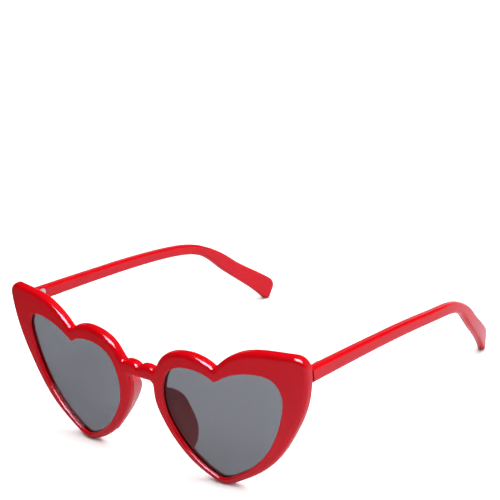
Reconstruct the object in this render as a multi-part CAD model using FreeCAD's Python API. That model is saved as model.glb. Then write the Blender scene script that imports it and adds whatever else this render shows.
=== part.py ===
"""Heart shaped sunglasses: a moulded front with two lenses, two folding temples and their metal hinges.

The glasses stand as they are put down open on a table: on the points of the two hearts and on the tips of the
temples. X runs across the face towards the wearer's left, Y from the front to the tips, and Z up. The origin is
on the table, under the middle of the overall width and depth. Lengths are in millimetres, angles in degrees.
"""

import FreeCAD
import Part

import math
import os

Vector = FreeCAD.Vector

# Lens openings of the front
lens_width = 51.5               # across one opening
lens_height = 46.45             # from the point of the opening to the top of its outer lobe
bridge_gap = 21.8               # from the nose side of one opening to that of the other

# Rims, measured from the opening to the outer edge
rim_point = 2.7                 # below the point of the heart
rim_cheek_nose = 3.2            # between the point and the nose
rim_nose_lower = 3.7
rim_nose = 4.8                  # beside the nose
rim_cheek_outer = 4.3           # between the point and the wing
rim_point_outer = 2.8
rim_side = 6.6                  # below the wing
lobe_width = 5.8                # above the inner lobe
brow_width = 5.3                # above the cleft of the heart
wing_reach = 10.4               # the wing beside the opening
wing_rise = 9.3                 # the wing above the opening
wing_round = 4.9                # from the wing's corner to the start of its rounding
cleft_round = 1.0               # from the bottom of a cleft to the start of its rounding

# Bridge
bridge_rise = 5.1               # of the underside above where the openings are nearest to each other
bridge_height = 4.8             # from the underside to the middle notch
bridge_shoulder = 1.4           # the bridge's top beyond the nose side of the rim
hump_rise = 1.4                 # the humps above the middle notch
hump_end_rise = 0.5             # where the humps meet the rims, above the middle notch
hump_peak_share = 0.53          # of the half width of the bridge's top
notch_round = 0.6
bridge_corner_round = 1.5
notch_angle = 38.0              # of the humps at the middle notch
hump_end_angles = (-28.0, 55.0)

# Front as a curved plate
front_thickness = 4.2
face_radius = 340.0             # of its face, seen from above
front_lean = 3.0                # the top leans forward by this angle when the glasses stand
face_edge_radius = 1.9
back_edge_radius = 1.0
opening_edge_radius = 0.6
opening_back_radius = 0.4
face_edge_share = 0.71          # most that a rounded edge takes of the narrowest rim or of the plate
back_edge_share = 0.38
opening_edge_share = 0.23

# Lenses
lens_depth = 1.3                # from the face of the front to the face of the lens
lens_thickness = 1.8
groove_depth = 0.9              # that the lens reaches into the rim
lens_bevel = 0.65
lens_clearance = 0.04

# Nose pads, moulded on the front
pad_depth = 9.0                 # behind the back of the front
pad_thickness = 2.3
pad_inset = 0.05                # from the nose side of the rim
pad_splay_angle = 21.0          # by which the pads open towards the back

# Temples
temple_reach = 146.0            # from the hinge end to the back of the tip
temple_height = 5.5             # at the hinge
temple_middle = 4.9
temple_waist = 4.6              # before and in the ear bend
temple_flare = 6.8              # after the ear bend
tip_width = 9.9
tip_slant = 3.4                 # by which the lower corner of the end lies further back than the upper one
tip_corner_round = 3.4          # from a corner of the end to the start of its rounding
temple_thickness = 4.0
tip_thickness = 3.2
temple_inset = 0.8              # from the wing's side edge to the temple's outer face
temple_straight = 75.0          # from the hinge end to where the temple starts to curve inwards
toe_in = 12.5                   # of the tip
temple_edge_radius = 1.3
temple_edge_share = 0.38
hinge_rise_share = 0.07         # height of the hinge's middle on the wing

# Hinges
hinge_gap = 1.2                 # from the back of the front to the end of the open temple
knuckle_radius = 1.3
knuckle_height = 1.85
knuckle_gap = 0.05
knuckle_side_gap = 0.25         # from the knuckles to the temple's inner face
knuckle_back_gap = 0.5          # from the knuckles to the back of the front
screw_radius = 0.7
screw_clearance = 0.05
screw_head_radius = 1.15
screw_head_height = 0.6
screw_slot_width = 0.35
screw_slot_depth = 0.3
root_width = 1.9                # of the front leaf's root
root_depth = 2.3                # of the root in the back of the front
root_foot_width = 3.4
root_foot_thickness = 0.8
leaf_length = 9.5               # of the temple leaf, from the pin to its rounded end
leaf_height = 3.4
leaf_thickness = 1.0
anchor_depth = 1.2              # of the temple leaf's rib in the temple
anchor_height = 1.6
anchor_shares = (0.35, 0.75)    # start and end of the rib along the leaf

cut_overrun = 20.0
touching = 0.0001               # edges this close to a wall lie on it

# The opening's outline: across and up as shares of its box, then the heading of the edge there
opening_shares = {
    "inner_top": (0.257, 0.938, 180),
    "inner_shoulder": (0.101, 0.889, 212),
    "nose_upper": (0.016, 0.739, 255),
    "nose_side": (0.000, 0.618, 270),
    "nose_lower": (0.045, 0.400, 298),
    "cheek_nose": (0.205, 0.157, 318.2),
    "point_nose": (0.356, 0.036, 334.3),
    "point": (0.441, 0.000, 360),
    "point_outer": (0.602, 0.077, 390.9),
    "cheek_outer": (0.839, 0.321, 414.6),
    "side": (0.973, 0.646, 433.9),
    "outer_side": (1.000, 0.818, 450),
    "outer_shoulder": (0.963, 0.943, 483),
    "outer_top": (0.800, 1.000, 540),
    "outer_slope": (0.645, 0.968, 557.2),
}
cleft_shares = (0.474, 0.865)
cleft_angles = (574.5, 503.0)
brow_angles = (-36.0, 50.0)     # of the outer edge at its cleft
lobe_angle = -4.0               # by which the outer edge turns at the inner lobe's shoulder

# The rim round the opening: its width and the angle by which its outer edge turns away from the opening's
rim_stations = {
    "side": (rim_side, 11),
    "cheek_outer": (rim_cheek_outer, 4),
    "point_outer": (rim_point_outer, 2),
    "point": (rim_point, 0),
    "point_nose": (rim_point, 0),
    "cheek_nose": (rim_cheek_nose, 0),
    "nose_lower": (rim_nose_lower, 0),
    "nose_side": (rim_nose, 0),
}
wing_slope_shares = (0.681, 0.755)
wing_slope_angle = 23.5
wing_top_share = 0.07

# The nose pad from its root to its back edge: depth, top and bottom along the nose side, and thickness
pad_shares = [
    (0.00, 0.05, 0.98, 1.00),
    (0.35, 0.08, 0.90, 0.95),
    (0.70, 0.16, 0.78, 0.80),
    (0.93, 0.27, 0.63, 0.60),
    (1.00, 0.35, 0.53, 0.35),
]
pad_side_shares = (0.2, 0.5, 0.8)
pad_side_thickness_shares = (0.85, 1.0, 0.85)

# The temple's middle line: along its reach, up to the hinge's height, its heading, and the temple's height there
temple_stations_shares = [
    (0.000, 1.000, -5.0, temple_height),
    (0.340, 0.905, -6.0, temple_middle),
    (0.600, 0.803, -9.5, temple_waist),
    (0.730, 0.697, -27.0, temple_waist),
    (0.830, 0.472, -43.0, temple_flare),
]
tip_angle = -46.0
paddle_flare_angle = 5.0        # of the paddle's edges to its middle line

FRONT_VIEW = (Vector(1, 0, 0), Vector(0, 0, 1), Vector(0, 1, 0))
SIDE_VIEW = (Vector(0, 1, 0), Vector(0, 0, 1), Vector(1, 0, 0))
PLAN_VIEW = (Vector(1, 0, 0), Vector(0, 1, 0), Vector(0, 0, 1))


def in_view(view, across, up, depth=0):
    """The point of a view's plane at a depth behind it."""
    return view[0] * across + view[1] * up + view[2] * depth


def moved(node, heading, distance):
    """The node shifted in a direction, with its own heading kept."""
    angle = math.radians(heading)
    return node[0] + distance * math.cos(angle), node[1] + distance * math.sin(angle), node[2]


def turned(node, angle):
    """The node with its heading turned."""
    return node[0], node[1], node[2] + angle


def rounded_corner(across, up, headings, size):
    """Two nodes in place of a corner, where its rounding starts and ends."""
    start = moved((across, up, headings[0]), headings[0], -size)
    end = moved((across, up, headings[1]), headings[1], size)
    return [start, end]


def outset(nodes, distance):
    """The outline shifted to the right of its direction of travel."""
    return [moved(node, node[2] - 90, distance) for node in nodes]


def handle_length(chord, near, far):
    """Length of a cubic's handle that sweeps evenly from one heading to the other."""
    swing = (math.sin(near) - math.sin(far) / 16) * (math.sin(far) - math.sin(near) / 16)
    swing = swing * math.sqrt(2) * (math.cos(near) - math.cos(far))
    spread = (math.sqrt(5) - 1) / 2 * math.cos(near) + (3 - math.sqrt(5)) / 2 * math.cos(far)
    return chord * (2 + swing) / (3 * (1 + spread))


def smooth_edge(view, start, end, depth=0):
    """A cubic edge from one node to the next."""
    across, up = end[0] - start[0], end[1] - start[1]
    chord = math.hypot(across, up)
    heading = math.atan2(up, across)
    leave = math.radians(start[2]) - heading
    arrive = heading - math.radians(end[2])
    first = moved(start, start[2], handle_length(chord, leave, arrive))
    last = moved(end, end[2], -handle_length(chord, arrive, leave))
    curve = Part.BezierCurve()
    curve.setPoles([in_view(view, node[0], node[1], depth) for node in (start, first, last, end)])
    return curve.toShape()


def open_edges(view, nodes, depth=0):
    return [smooth_edge(view, start, end, depth) for start, end in zip(nodes, nodes[1:])]


def closed_wire(view, nodes, depth=0):
    return Part.Wire(open_edges(view, nodes + nodes[:1], depth))


def prism(view, nodes, near, far):
    """The closed outline drawn from one depth to another."""
    return Part.Face(closed_wire(view, nodes, near)).extrude(view[2] * (far - near))


def opening_node(name):
    across, up, heading = opening_shares[name]
    return bridge_gap / 2 + across * lens_width, rim_point + up * lens_height, heading


def cleft_corner(rise, headings):
    """The rounded cleft of the heart, at a distance above that of the opening."""
    across = bridge_gap / 2 + cleft_shares[0] * lens_width
    up = rim_point + cleft_shares[1] * lens_height
    return rounded_corner(across, up + rise, headings, cleft_round)


def opening_outline():
    """The lens opening on the +X side, anticlockwise as seen from the front."""
    arrive, leave = cleft_corner(0, cleft_angles)
    return [leave] + [opening_node(name) for name in opening_shares] + [arrive]


def rim_node(name, width, turn=0):
    """A node of the front's outer edge, which runs the other way round than the opening."""
    node = opening_node(name)
    return turned(moved(node, node[2] - 90, width), -180 - turn)


def bridge_underside():
    """How high up the front the bridge's underside lies."""
    return opening_node("nose_side")[1] + bridge_rise


def half_outline():
    """The front's outer edge on the +X side, from the middle of the bridge's top to the middle of its underside."""
    opening_top = rim_point + lens_height
    opening_side = bridge_gap / 2 + lens_width
    nose_side = bridge_gap / 2 - rim_nose
    underside = bridge_underside()
    notch = underside + bridge_height
    hump_end = nose_side + bridge_shoulder
    wing_slope = (
        bridge_gap / 2 + wing_slope_shares[0] * lens_width,
        opening_top + wing_slope_shares[1] * wing_rise,
        wing_slope_angle,
    )
    nodes = rounded_corner(0, notch, (-notch_angle, notch_angle), notch_round)[1:]
    nodes.append((hump_peak_share * hump_end, notch + hump_rise, 0))
    nodes += rounded_corner(hump_end, notch + hump_end_rise, hump_end_angles, notch_round)
    nodes.append(rim_node("inner_shoulder", lobe_width, lobe_angle))
    nodes.append(rim_node("inner_top", lobe_width))
    nodes += cleft_corner(brow_width, brow_angles)
    nodes.append(wing_slope)
    nodes.append((opening_side + wing_top_share * wing_reach, opening_top + wing_rise, 0))
    nodes += rounded_corner(opening_side + wing_reach, opening_top + wing_rise, (0, -90), wing_round)
    nodes += [rim_node(name, width, turn) for name, (width, turn) in rim_stations.items()]
    nodes += rounded_corner(nose_side, underside, (90, 180), bridge_corner_round)
    return nodes


def front_outline():
    """Both halves of the front's outer edge, clockwise as seen from the front."""
    half = half_outline()
    middle = (0, bridge_underside(), 180)
    return half + [middle] + [(-across, up, -heading) for across, up, heading in reversed(half)]


def face_centre():
    return Vector(0, face_radius, -cut_overrun)


def face_cylinder(depth):
    """Everything behind a curved face at this depth behind the front's face."""
    height = rim_point + lens_height + wing_rise + 2 * cut_overrun
    return Part.makeCylinder(face_radius - depth, height, face_centre())


def curved_plate(outline, near, far):
    """The outline cut from the curved plate between two depths behind the front's face."""
    half_width = bridge_gap / 2 + lens_width + wing_reach
    sag = face_radius - math.sqrt(face_radius**2 - half_width**2)
    block = prism(FRONT_VIEW, outline, -cut_overrun, sag + far + cut_overrun)
    return block.common(face_cylinder(near)).cut(face_cylinder(far))


def edges_at_depth(solid, depth):
    """The edges that lie on the curved face at this depth."""
    found = []
    for edge in solid.Edges:
        middle = edge.valueAt((edge.FirstParameter + edge.LastParameter) / 2)
        reach = math.hypot(middle.x, middle.y - face_radius)
        if math.isclose(reach, face_radius - depth, rel_tol=1e-7):
            found.append(edge)
    return found


def edges_on_wall(solid, wall, depth):
    """Those of the edges at this depth that an opening's wall made."""
    found = []
    for edge in edges_at_depth(solid, depth):
        middle = Part.Vertex(edge.valueAt((edge.FirstParameter + edge.LastParameter) / 2))
        if wall.distToShape(middle)[0] < touching:
            found.append(edge)
    return found


def mirrored(shape):
    """The same piece on the other side of the face."""
    return shape.mirror(Vector(0, 0, 0), Vector(1, 0, 0))


def front_blank():
    """The curved plate in the front's outline with its two openings, every edge rounded."""
    rims = [lobe_width, brow_width] + [width for width, turn in rim_stations.values()]
    limit = min(rims + [front_thickness])
    plate = curved_plate(front_outline(), 0, front_thickness)
    face_edges = edges_at_depth(plate, 0)
    plate = plate.makeFillet(min(face_edge_radius, face_edge_share * limit), face_edges)
    back_edges = edges_at_depth(plate, front_thickness)
    plate = plate.makeFillet(min(back_edge_radius, back_edge_share * limit), back_edges)
    opening = prism(FRONT_VIEW, opening_outline(), -cut_overrun, 2 * cut_overrun)
    openings = Part.makeCompound([opening, mirrored(opening)])
    plate = plate.cut(openings)
    face_edges = edges_on_wall(plate, openings, 0)
    plate = plate.makeFillet(min(opening_edge_radius, opening_edge_share * limit), face_edges)
    back_edges = edges_on_wall(plate, openings, front_thickness)
    return plate.makeFillet(min(opening_back_radius, opening_edge_share * limit), back_edges)


def lens(grow=0):
    """The bevelled lens on the +X side, or with some growth the groove that holds it."""
    outline = outset(opening_outline(), groove_depth - lens_clearance + grow)
    near, far = lens_depth - grow, lens_depth + lens_thickness + grow
    blank = curved_plate(outline, near, far)
    return blank.makeChamfer(lens_bevel, edges_at_depth(blank, near) + edges_at_depth(blank, far))


def nose_edges():
    """The nose side of the rim on the +X side, from the bridge down to the cheek."""
    stations = ("nose_side", "nose_lower", "cheek_nose")
    nodes = []
    for name in stations:
        node = opening_node(name)
        nodes.append(moved(node, node[2] - 90, rim_stations[name][0] - pad_inset))
    top = (nodes[0][0], bridge_underside() - bridge_corner_round, nodes[0][2])
    return open_edges(FRONT_VIEW, [top] + nodes)


def node_along(edges, share):
    """The node at a share of the way along a run of edges."""
    distance = share * sum(edge.Length for edge in edges)
    for edge in edges:
        if distance <= edge.Length:
            break
        distance -= edge.Length
    place = edge.getParameterByLength(distance)
    spot, heading = edge.valueAt(place), edge.tangentAt(place)
    return spot.x, spot.z, math.degrees(math.atan2(heading.z, heading.x))


def pad_section(edges, depth, top, bottom, thickness):
    """A leaf shaped section of the nose pad, flush with the nose side and tilted outwards with its depth."""
    nose, inner = [], []
    for share, thickness_share in zip(pad_side_shares, pad_side_thickness_shares):
        node = node_along(edges, top + share * (bottom - top))
        nose.append(node)
        inner.append(turned(moved(node, node[2] + 90, thickness_share * thickness), 180))
    low, high = node_along(edges, bottom), node_along(edges, top)
    low = turned(moved(low, low[2] + 90, thickness / 2), 90)
    high = turned(moved(high, high[2] + 90, thickness / 2), -90)
    splay = depth * math.tan(math.radians(pad_splay_angle))
    nodes = [moved(node, 0, splay) for node in nose + [low] + inner[::-1] + [high]]
    return closed_wire(FRONT_VIEW, nodes, front_thickness - back_edge_radius + depth)


def nose_pad():
    """The moulded nose pad on the +X side, from inside the rim to its thin back edge."""
    edges = nose_edges()
    reach = pad_depth + back_edge_radius
    sections = []
    for depth, top, bottom, thickness in pad_shares:
        sections.append(pad_section(edges, depth * reach, top, bottom, thickness * pad_thickness))
    return Part.makeLoft(sections, True)


def stood(shape, drop=0):
    """A piece of the front leant forward, as it stands, and let down by the drop."""
    leant = shape.rotated(Vector(0, 0, 0), Vector(1, 0, 0), front_lean)
    return leant.translated(Vector(0, 0, -drop))


def temple_inner_face():
    """How far out the temple's inner face lies at the hinge."""
    return bridge_gap / 2 + lens_width + wing_reach - temple_inset - temple_thickness


def hinge_pin(drop):
    """The middle of the hinge on the +X side."""
    across = temple_inner_face() - knuckle_side_gap - knuckle_radius
    up = rim_point + lens_height + hinge_rise_share * wing_rise
    back = face_radius - math.sqrt((face_radius - front_thickness) ** 2 - across**2)
    lean = math.radians(front_lean)
    behind = back * math.cos(lean) - up * math.sin(lean)
    height = back * math.sin(lean) + up * math.cos(lean) - drop
    return Vector(across, behind + knuckle_radius + knuckle_back_gap, height)


def paddle_end(pin):
    """The slanted end of the paddle with its two rounded corners, the lower one on the table."""
    slant = tip_angle - 90 + math.degrees(math.atan2(tip_slant, tip_width))
    across, up, heading = moved((0, 0, slant), slant, math.hypot(tip_slant, tip_width))
    nodes = rounded_corner(0, 0, (tip_angle + paddle_flare_angle, slant), tip_corner_round)
    nodes += rounded_corner(across, up, (slant, tip_angle - paddle_flare_angle - 180), tip_corner_round)
    edge = Part.Wire(open_edges(SIDE_VIEW, nodes)).optimalBoundingBox(False, False)
    back, down = pin.y + temple_reach - edge.YMax, -edge.ZMin
    return [(across + back, up + down, heading) for across, up, heading in nodes]


def temple_side(pin):
    """The temple seen from the side: from the hinge over the ear bend to the paddle, whose end rests at zero."""
    stations = []
    for along, up, heading, height in temple_stations_shares:
        stations.append(((pin.y + along * temple_reach, up * pin.z, heading), height))
    start, height = stations[0]
    stations.insert(0, (moved(start, start[2], -cut_overrun), height))
    upper = [moved(node, node[2] + 90, height / 2) for node, height in stations]
    lower = [turned(moved(node, node[2] - 90, height / 2), 180) for node, height in stations]
    return upper + paddle_end(pin) + lower[::-1]


def temple_plan(pin):
    """The temple seen from above: straight at the hinge, then curving inwards as it gets thinner."""
    middle = temple_inner_face() + temple_thickness / 2
    swing = 2 * math.degrees(math.atan2(toe_in, temple_reach - temple_straight))
    stations = [
        ((middle, pin.y - cut_overrun, 90), temple_thickness),
        ((middle, pin.y + temple_straight, 90), temple_thickness),
        ((middle - toe_in, pin.y + temple_reach, 90 + swing), tip_thickness),
    ]
    stations.append((moved(stations[-1][0], 90 + swing, cut_overrun), tip_thickness))
    outer = [moved(node, node[2] - 90, thickness / 2) for node, thickness in stations]
    inner = [turned(moved(node, node[2] + 90, thickness / 2), 180) for node, thickness in stations]
    return outer + inner[::-1]


def box_between(low, high):
    """A block between two opposite corners."""
    size = high - low
    return Part.makeBox(size.x, size.y, size.z, low)


def temple_room(drop):
    """Everything behind the mitred end of the open temple."""
    return stood(face_cylinder(front_thickness + hinge_gap), drop)


def temple(pin, drop):
    """The temple on the +X side with its long edges rounded, mitred to the back of the front."""
    across = bridge_gap / 2 + lens_width + wing_reach
    start, top = pin.y - cut_overrun / 2, pin.z + cut_overrun
    side = prism(SIDE_VIEW, temple_side(pin), 0, across)
    plan = prism(PLAN_VIEW, temple_plan(pin), -cut_overrun, top)
    room = box_between(Vector(0, start, -cut_overrun), Vector(across, pin.y + 2 * temple_reach, top))
    blank = side.common(plan).common(room)
    long_edges = []
    for edge in blank.Edges:
        middle = edge.valueAt((edge.FirstParameter + edge.LastParameter) / 2)
        if middle.y > start + touching:
            long_edges.append(edge)
    limit = temple_edge_share * min(temple_thickness, tip_thickness, temple_waist)
    blank = blank.makeFillet(min(temple_edge_radius, limit), long_edges)
    return blank.common(temple_room(drop))


def knuckle(pin, step):
    """One of the hinge's three knuckles, counted up or down from the middle one."""
    base = pin + Vector(0, 0, step * (knuckle_height + knuckle_gap) - knuckle_height / 2)
    return Part.makeCylinder(knuckle_radius, knuckle_height, base)


def screw_hole(pin):
    height = 4 * knuckle_height
    return Part.makeCylinder(screw_radius + screw_clearance, height, pin - Vector(0, 0, height / 2))


def front_hinge(pin):
    """The front leaf: two knuckles on a root whose foot is sunk in the back of the front."""
    half_height = 3 * knuckle_height / 2 + knuckle_gap
    face = -knuckle_radius - knuckle_gap
    end = -knuckle_radius - knuckle_back_gap - root_depth
    low = Vector(-root_width / 2, end, -half_height)
    leaf = box_between(pin + low, pin + Vector(root_width / 2, face, half_height))
    low = Vector(-root_foot_width / 2, end, -half_height)
    foot = Vector(root_foot_width / 2, end + root_foot_thickness, half_height)
    leaf = leaf.fuse(box_between(pin + low, pin + foot))
    for step in (-1, 1):
        middle = step * (knuckle_height + knuckle_gap)
        low = Vector(-root_width / 2, face, middle - knuckle_height / 2)
        high = Vector(root_width / 2, 0, middle + knuckle_height / 2)
        leaf = leaf.fuse([knuckle(pin, step), box_between(pin + low, pin + high)])
    return leaf.cut(screw_hole(pin)).removeSplitter()


def temple_hinge(pin, room):
    """The temple leaf: one knuckle on a plate with a rounded end, and a rib that anchors it in the temple."""
    face = knuckle_radius + knuckle_side_gap
    back = face + leaf_thickness
    half_height = leaf_height / 2
    end = leaf_length - half_height
    plate = box_between(pin + Vector(face, -cut_overrun, -half_height), pin + Vector(back, end, half_height))
    plate = plate.common(room)
    round_end = Part.makeCylinder(half_height, leaf_thickness, pin + Vector(face, end, 0), Vector(1, 0, 0))
    arm = box_between(
        pin + Vector(0, 0, -knuckle_height / 2), pin + Vector(back, knuckle_radius, knuckle_height / 2)
    )
    rib = box_between(
        pin + Vector(back, anchor_shares[0] * leaf_length, -anchor_height / 2),
        pin + Vector(back + anchor_depth, anchor_shares[1] * leaf_length, anchor_height / 2),
    )
    return plate.fuse([round_end, arm, rib, knuckle(pin, 0)]).cut(screw_hole(pin)).removeSplitter()


def hinge_screw(pin):
    """The slotted screw that the temple turns on, its head on the upper knuckle."""
    half_height = 3 * knuckle_height / 2 + knuckle_gap
    shank = Part.makeCylinder(screw_radius, 2 * half_height, pin - Vector(0, 0, half_height))
    top = pin + Vector(0, 0, half_height)
    head = Part.makeCylinder(screw_head_radius, screw_head_height, top)
    slot = box_between(
        top + Vector(-screw_head_radius, -screw_slot_width / 2, screw_head_height - screw_slot_depth),
        top + Vector(screw_head_radius, screw_slot_width / 2, screw_head_height),
    )
    return shank.fuse(head).cut(slot).removeSplitter()


def glasses():
    """Every piece by name, standing on the table."""
    blank = front_blank()
    drop = stood(blank).optimalBoundingBox(False, False).ZMin
    pin = hinge_pin(drop)
    pads = [nose_pad(), mirrored(nose_pad())]
    grooves = [lens(lens_clearance), mirrored(lens(lens_clearance))]
    front = stood(blank.fuse(pads).cut(grooves), drop)
    front_leaf, temple_leaf = front_hinge(pin), temple_hinge(pin, temple_room(drop))
    front = front.cut([front_leaf, mirrored(front_leaf)])
    sided = {
        "lens": stood(lens(), drop),
        "temple": temple(pin, drop).cut(temple_leaf),
        "front_hinge": front_leaf,
        "temple_hinge": temple_leaf,
        "hinge_screw": hinge_screw(pin),
    }
    pieces = {"front_frame": front}
    for name, shape in sided.items():
        pieces["left_" + name] = shape
        pieces["right_" + name] = mirrored(shape)
    box = Part.makeCompound([front, sided["temple"]]).optimalBoundingBox(False, False)
    middle = Vector(0, -(box.YMin + box.YMax) / 2, -box.ZMin)
    print("hinge pin", pin + middle, "overall", 2 * box.XMax, box.YLength, box.ZLength)
    return {name: shape.translated(middle) for name, shape in pieces.items()}


os.makedirs("parts", exist_ok=True)
for name, shape in glasses().items():
    print(name, len(shape.Solids), shape.isValid(), round(shape.Volume, 1))
    shape.exportStep("parts/" + name + ".step")
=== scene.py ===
"""Looks of the heart shaped sunglasses: glossy red plastic, grey lenses and bright hinges in a white studio.

Lengths are in metres, angles in degrees and the power of lights in watts.
"""

import math

import bpy
from mathutils import Matrix, Vector

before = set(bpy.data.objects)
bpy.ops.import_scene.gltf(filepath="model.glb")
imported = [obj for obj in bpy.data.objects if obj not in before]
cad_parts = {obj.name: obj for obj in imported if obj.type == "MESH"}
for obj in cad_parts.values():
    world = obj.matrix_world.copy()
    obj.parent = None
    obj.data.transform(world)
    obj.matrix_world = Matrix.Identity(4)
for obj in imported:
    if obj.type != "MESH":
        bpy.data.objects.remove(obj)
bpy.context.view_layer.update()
scene = bpy.context.scene
scene.view_settings.view_transform = "Standard"

# Camera of the three-quarter view
camera_place = (0.331, -0.418, 0.2632)
camera_yaw = 38.89
camera_pitch = 20.74
camera_roll = -3.82
camera_focus = 1403.6           # focal length in pixels of the square image
image_size = 500.0
sensor_width = 36.0             # in millimetres
clip_start, clip_end = 0.01, 50.0

# Materials
noise_span = (0.3, 0.7)         # in which most of a noise lies
plastic_colours = ((0.62, 0.0018, 0.0060), (0.70, 0.0024, 0.0075))
plastic_roughness = (0.09, 0.13)
plastic_gloss_tint = (0.88, 0.8, 1.0, 1.0)
lens_tints = ((0.105, 0.11, 0.125), (0.135, 0.14, 0.158))       # at the table and at the top of the lens
lens_top = 0.052
lens_roughness = (0.0, 0.02)
hinge_colours = ((0.78, 0.77, 0.75), (0.90, 0.89, 0.87))
hinge_roughness = (0.16, 0.3)
screw_colours = ((0.42, 0.42, 0.43), (0.6, 0.6, 0.61))
screw_roughness = (0.22, 0.38)
refraction = 1.5                # of the plastic and of the lenses

# Floor
white = (1.0, 1.0, 1.0, 1.0)
floor_size = 12.0
floor_colour = (0.8, 0.8, 0.8, 1.0)
floor_roughness = 0.9
glow_span, glow_levels = (0.3, 0.9), (0.5, 1.2)                 # over the distance from the middle
# Painted contact shadow: ambient occlusion darkens the floor's glow and its painted reflection near the glasses
contact_shadow_reach = 0.012
contact_shadow_span, contact_shadow_levels = (0.25, 0.9), (0.1, 1.0)
# Painted reflection of the floor in the glasses: an emission darker at the front left and brighter at the rear
# right
painted_reflection_colour = (0.8, 0.8, 0.86, 1.0)
painted_reflection_span, painted_reflection_levels = (-0.3, 0.1), (0.1, 0.9)        # from the front left to the rear right

# World
soft_level = 0.12               # that lights the object from all round
seen_level = 1.0                # that the camera sees
horizon_span, horizon_levels = (-0.2, 0.5), (0.02, 0.4)         # mirrored, from the front to the rear
height_span, height_levels = (0.15, 0.35), (1.0, 0.02)          # mirrored, upwards

# Lights: place, size and power
light_target = (0, 0, 0.03)
panels = {
    "key": ((0.2, -0.46, 0.8), (0.3, 0.3), 3.2),
    "top": ((0.1, 0.3, 1.1), (1.0, 1.0), 13.5),
    "right_rear": ((0.8, 0.5, 0.4), (1.0, 1.0), 5.0),
}
strip = ((0.28, -0.4, 0.8), (0.8, 0.6), 32.0)


def new_material(name):
    """A material, its tree and its shader."""
    material = bpy.data.materials.new(name)
    material.use_nodes = True
    tree = material.node_tree
    return material, tree, tree.nodes["Principled BSDF"]


def set_inputs(node, **inputs):
    """Sets sockets by name, with underscores for spaces."""
    for name, value in inputs.items():
        node.inputs[name.replace("_", " ")].default_value = value
    return node


def add_node(tree, kind, **inputs):
    return set_inputs(tree.nodes.new(kind), **inputs)


def add_place(tree, output="Object"):
    """The place on the surface in the object's own metres, or another coordinate."""
    return tree.nodes.new("ShaderNodeTexCoord").outputs[output]


def add_noise(tree, scale, detail=2.0, stretch=(1.0, 1.0, 1.0)):
    """Noise with features of about one over the scale."""
    stretched = add_node(tree, "ShaderNodeMapping", Scale=stretch)
    noise = add_node(tree, "ShaderNodeTexNoise", Scale=scale, Detail=detail)
    tree.links.new(add_place(tree), stretched.inputs["Vector"])
    tree.links.new(stretched.outputs["Vector"], noise.inputs["Vector"])
    return noise.outputs["Fac"]


def spread(tree, value, source, target, smooth=False):
    """The value from one range spread over another."""
    ranged = tree.nodes.new("ShaderNodeMapRange")
    if smooth:
        ranged.interpolation_type = "SMOOTHSTEP"
    for name, number in zip(("From Min", "From Max", "To Min", "To Max"), source + target):
        ranged.inputs[name].default_value = number
    tree.links.new(value, ranged.inputs["Value"])
    return ranged.outputs["Result"]


def combine(tree, operation, first, second, clamp=False):
    """Two values put together by a node that calculates."""
    node = tree.nodes.new("ShaderNodeMath")
    node.operation = operation
    node.use_clamp = clamp
    tree.links.new(first, node.inputs[0])
    tree.links.new(second, node.inputs[1])
    return node.outputs["Value"]


def add_colours(tree, value, places, colours):
    """A colour ramp over the value, from one colour at the first place to the other at the second."""
    ramp = tree.nodes.new("ShaderNodeValToRGB")
    for element, place, colour in zip(ramp.color_ramp.elements, places, colours):
        element.position = place
        element.color = (*colour, 1.0)
    tree.links.new(value, ramp.inputs["Fac"])
    return ramp.outputs["Color"]


def add_bump(tree, shader, height, strength, distance):
    bump = add_node(tree, "ShaderNodeBump", Strength=strength, Distance=distance)
    tree.links.new(height, bump.inputs["Height"])
    tree.links.new(bump.outputs["Normal"], shader.inputs["Normal"])


def red_plastic():
    """Polished opaque red plastic with a faint flow of pigment and a very slight moulded ripple."""
    material, tree, shader = new_material("red_plastic")
    colour = add_colours(tree, add_noise(tree, scale=45.0, detail=3.0), noise_span, plastic_colours)
    tree.links.new(colour, shader.inputs["Base Color"])
    gloss = spread(tree, add_noise(tree, scale=300.0), noise_span, plastic_roughness)
    tree.links.new(gloss, shader.inputs["Roughness"])
    add_bump(tree, shader, add_noise(tree, scale=120.0, detail=1.0), strength=0.02, distance=0.0001)
    set_inputs(shader, IOR=refraction, Specular_IOR_Level=0.5, Specular_Tint=plastic_gloss_tint)
    set_inputs(shader, Subsurface_Weight=0.12, Subsurface_Radius=(1.0, 0.12, 0.12), Subsurface_Scale=0.0012)
    return material


def grey_lens():
    """A grey tinted lens, a little darker towards its point."""
    material, tree, shader = new_material("grey_lens")
    height = spread(tree, along(tree, "Object", (0.0, 0.0, 1.0)), (0.0, lens_top), (0.0, 1.0))
    tint = add_colours(tree, height, (0.0, 1.0), lens_tints)
    tree.links.new(tint, shader.inputs["Base Color"])
    gloss = spread(tree, add_noise(tree, scale=120.0), noise_span, lens_roughness)
    tree.links.new(gloss, shader.inputs["Roughness"])
    set_inputs(shader, IOR=refraction, Transmission_Weight=1.0)
    return material


def marked_metal(name, marking, colours, roughness, strength, distance):
    """Metal with fine marks in its colour, its gloss and its surface."""
    material, tree, shader = new_material(name)
    marks = add_noise(tree, **marking)
    tree.links.new(add_colours(tree, marks, noise_span, colours), shader.inputs["Base Color"])
    tree.links.new(spread(tree, marks, noise_span, roughness), shader.inputs["Roughness"])
    add_bump(tree, shader, marks, strength, distance)
    set_inputs(shader, Metallic=1.0)
    return material


def hinge_metal():
    """Bright nickel silver with rolling marks along the leaf."""
    marking = {"scale": 900.0, "stretch": (3.0, 0.15, 3.0)}
    return marked_metal("hinge_metal", marking, hinge_colours, hinge_roughness, strength=0.15, distance=0.00005)


def screw_metal():
    """Turned steel with marks round the screw."""
    marking = {"scale": 2500.0, "stretch": (0.3, 0.3, 3.0)}
    return marked_metal("screw_metal", marking, screw_colours, screw_roughness, strength=0.2, distance=0.00004)


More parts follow.
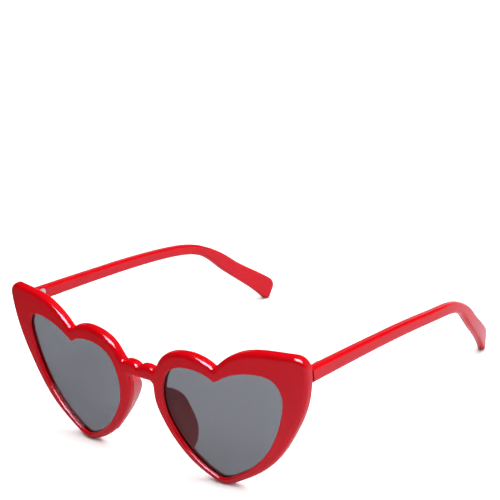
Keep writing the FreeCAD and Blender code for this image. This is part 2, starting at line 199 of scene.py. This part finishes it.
def dress():
    """Gives each CAD node its material."""
    finishes = {"lens": grey_lens(), "hinge": hinge_metal(), "screw": screw_metal()}
    plastic = red_plastic()
    for name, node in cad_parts.items():
        last_word = name.split("_")[-1]
        node.data.materials.clear()
        node.data.materials.append(finishes.get(last_word, plastic))


def any_ray(tree, *kinds):
    """One for rays of these kinds, zero for others."""
    path = tree.nodes.new("ShaderNodeLightPath")
    total = path.outputs[kinds[0]]
    for kind in kinds[1:]:
        total = combine(tree, "MAXIMUM", total, path.outputs[kind])
    return total


def mirrored_ray(tree):
    """One for rays that the glasses throw back, zero for those that pass through a lens and for others."""
    rays = tree.nodes.new("ShaderNodeLightPath").outputs
    return combine(tree, "SUBTRACT", rays["Is Glossy Ray"], rays["Is Transmission Ray"], clamp=True)


def along(tree, coordinate, direction):
    """How far a place or a direction lies along this direction."""
    share = tree.nodes.new("ShaderNodeVectorMath")
    share.operation = "DOT_PRODUCT"
    share.inputs[1].default_value = direction
    tree.links.new(add_place(tree, coordinate), share.inputs[0])
    return share.outputs["Value"]


def floor_glow(tree, painted_contact_shadow):
    """White glow that the camera sees, darkened by a painted contact shadow where the glasses touch the floor.
    """
    reach = tree.nodes.new("ShaderNodeVectorMath")
    reach.operation = "LENGTH"
    tree.links.new(add_place(tree), reach.inputs[0])
    glow = spread(tree, reach.outputs["Value"], glow_span, glow_levels, smooth=True)
    glow = combine(tree, "MULTIPLY", glow, painted_contact_shadow)
    return combine(tree, "MULTIPLY", glow, any_ray(tree, "Is Camera Ray", "Is Transmission Ray"))


def white_floor():
    """A wide white floor that keeps the shadow; mirrored in the glasses it is a painted reflection that fades
    to grey towards the front.
    """
    bpy.ops.mesh.primitive_plane_add(size=floor_size, location=(0, 0, 0))
    floor = bpy.context.object
    floor.name = "floor"
    material, tree, shader = new_material("white_floor")
    set_inputs(shader, Base_Color=floor_colour, Roughness=floor_roughness, Specular_IOR_Level=0.0)
    set_inputs(shader, Emission_Color=white)
    # Painted contact shadow, from ambient occlusion near the glasses
    nearness = add_node(tree, "ShaderNodeAmbientOcclusion", Distance=contact_shadow_reach)
    painted_contact_shadow = spread(tree, nearness.outputs["AO"], contact_shadow_span, contact_shadow_levels, smooth=True)
    tree.links.new(floor_glow(tree, painted_contact_shadow), shader.inputs["Emission Strength"])
    # Painted reflection: glossy rays see this graded emission instead of the lit floor, dimmed by the painted
    # contact shadow
    rear = spread(tree, along(tree, "Object", (1.0, 1.0, 0.0)), painted_reflection_span, painted_reflection_levels, smooth=True)
    mirrored = add_node(tree, "ShaderNodeEmission", Color=painted_reflection_colour)
    tree.links.new(combine(tree, "MULTIPLY", rear, painted_contact_shadow), mirrored.inputs["Strength"])
    choice = tree.nodes.new("ShaderNodeMixShader")
    tree.links.new(mirrored_ray(tree), choice.inputs["Fac"])
    tree.links.new(shader.outputs["BSDF"], choice.inputs[1])
    tree.links.new(mirrored.outputs["Emission"], choice.inputs[2])
    tree.links.new(choice.outputs["Shader"], tree.nodes["Material Output"].inputs["Surface"])
    floor.data.materials.append(material)


def studio_world():
    """White for the camera; mirrored in the glasses, a pale horizon at the rear; else plain soft light."""
    world = bpy.data.worlds.new("studio")
    world.use_nodes = True
    scene.world = world
    tree = world.node_tree
    rear = spread(tree, along(tree, "Generated", (0.5, 1.0, 0.0)), horizon_span, horizon_levels, smooth=True)
    low = spread(tree, along(tree, "Generated", (0.0, 0.0, 1.0)), height_span, height_levels, smooth=True)
    level = combine(tree, "MULTIPLY", rear, low)
    seen = any_ray(tree, "Is Camera Ray", "Is Transmission Ray")
    for rays, strength in ((any_ray(tree, "Is Diffuse Ray"), soft_level), (seen, seen_level)):
        choice = tree.nodes.new("ShaderNodeMix")
        tree.links.new(rays, choice.inputs["Factor"])
        tree.links.new(level, choice.inputs["A"])
        choice.inputs["B"].default_value = strength
        level = choice.outputs["Result"]
    sky = tree.nodes["Background"]
    sky.inputs["Color"].default_value = white
    tree.links.new(level, sky.inputs["Strength"])


def softbox(name, place, size, power):
    """A rectangular studio light that points at the glasses."""
    light = bpy.data.lights.new(name, "AREA")
    light.shape = "RECTANGLE"
    light.size, light.size_y = size
    light.energy = power
    lamp = bpy.data.objects.new(name, light)
    lamp.location = place
    aim = Vector(light_target) - Vector(place)
    lamp.rotation_mode = "QUATERNION"
    lamp.rotation_quaternion = aim.to_track_quat("-Z", "Y")
    scene.collection.objects.link(lamp)
    return lamp


def lights():
    """Panels that give the soft light, and one that is only seen as the long glints on the rounded edges."""
    for name, panel in panels.items():
        softbox(name, *panel).visible_glossy = False
    softbox("strip", *strip).visible_diffuse = False


def camera():
    """The camera at the three-quarter view."""
    data = bpy.data.cameras.new("camera")
    data.sensor_width = sensor_width
    data.lens = camera_focus / image_size * sensor_width
    data.clip_start, data.clip_end = clip_start, clip_end
    holder = bpy.data.objects.new("camera", data)
    yaw, pitch, roll = (math.radians(angle) for angle in (camera_yaw, camera_pitch, camera_roll))
    ahead = Vector((-math.sin(yaw) * math.cos(pitch), math.cos(yaw) * math.cos(pitch), -math.sin(pitch)))
    level = ahead.cross(Vector((0, 0, 1))).normalized()
    upright = level.cross(ahead)
    right = math.cos(roll) * level + math.sin(roll) * upright
    up = math.cos(roll) * upright - math.sin(roll) * level
    turn = Matrix((right, up, -ahead)).transposed().to_4x4()
    holder.matrix_world = Matrix.Translation(Vector(camera_place)) @ turn
    scene.collection.objects.link(holder)
    scene.camera = holder


dress()
white_floor()
studio_world()
lights()
camera()
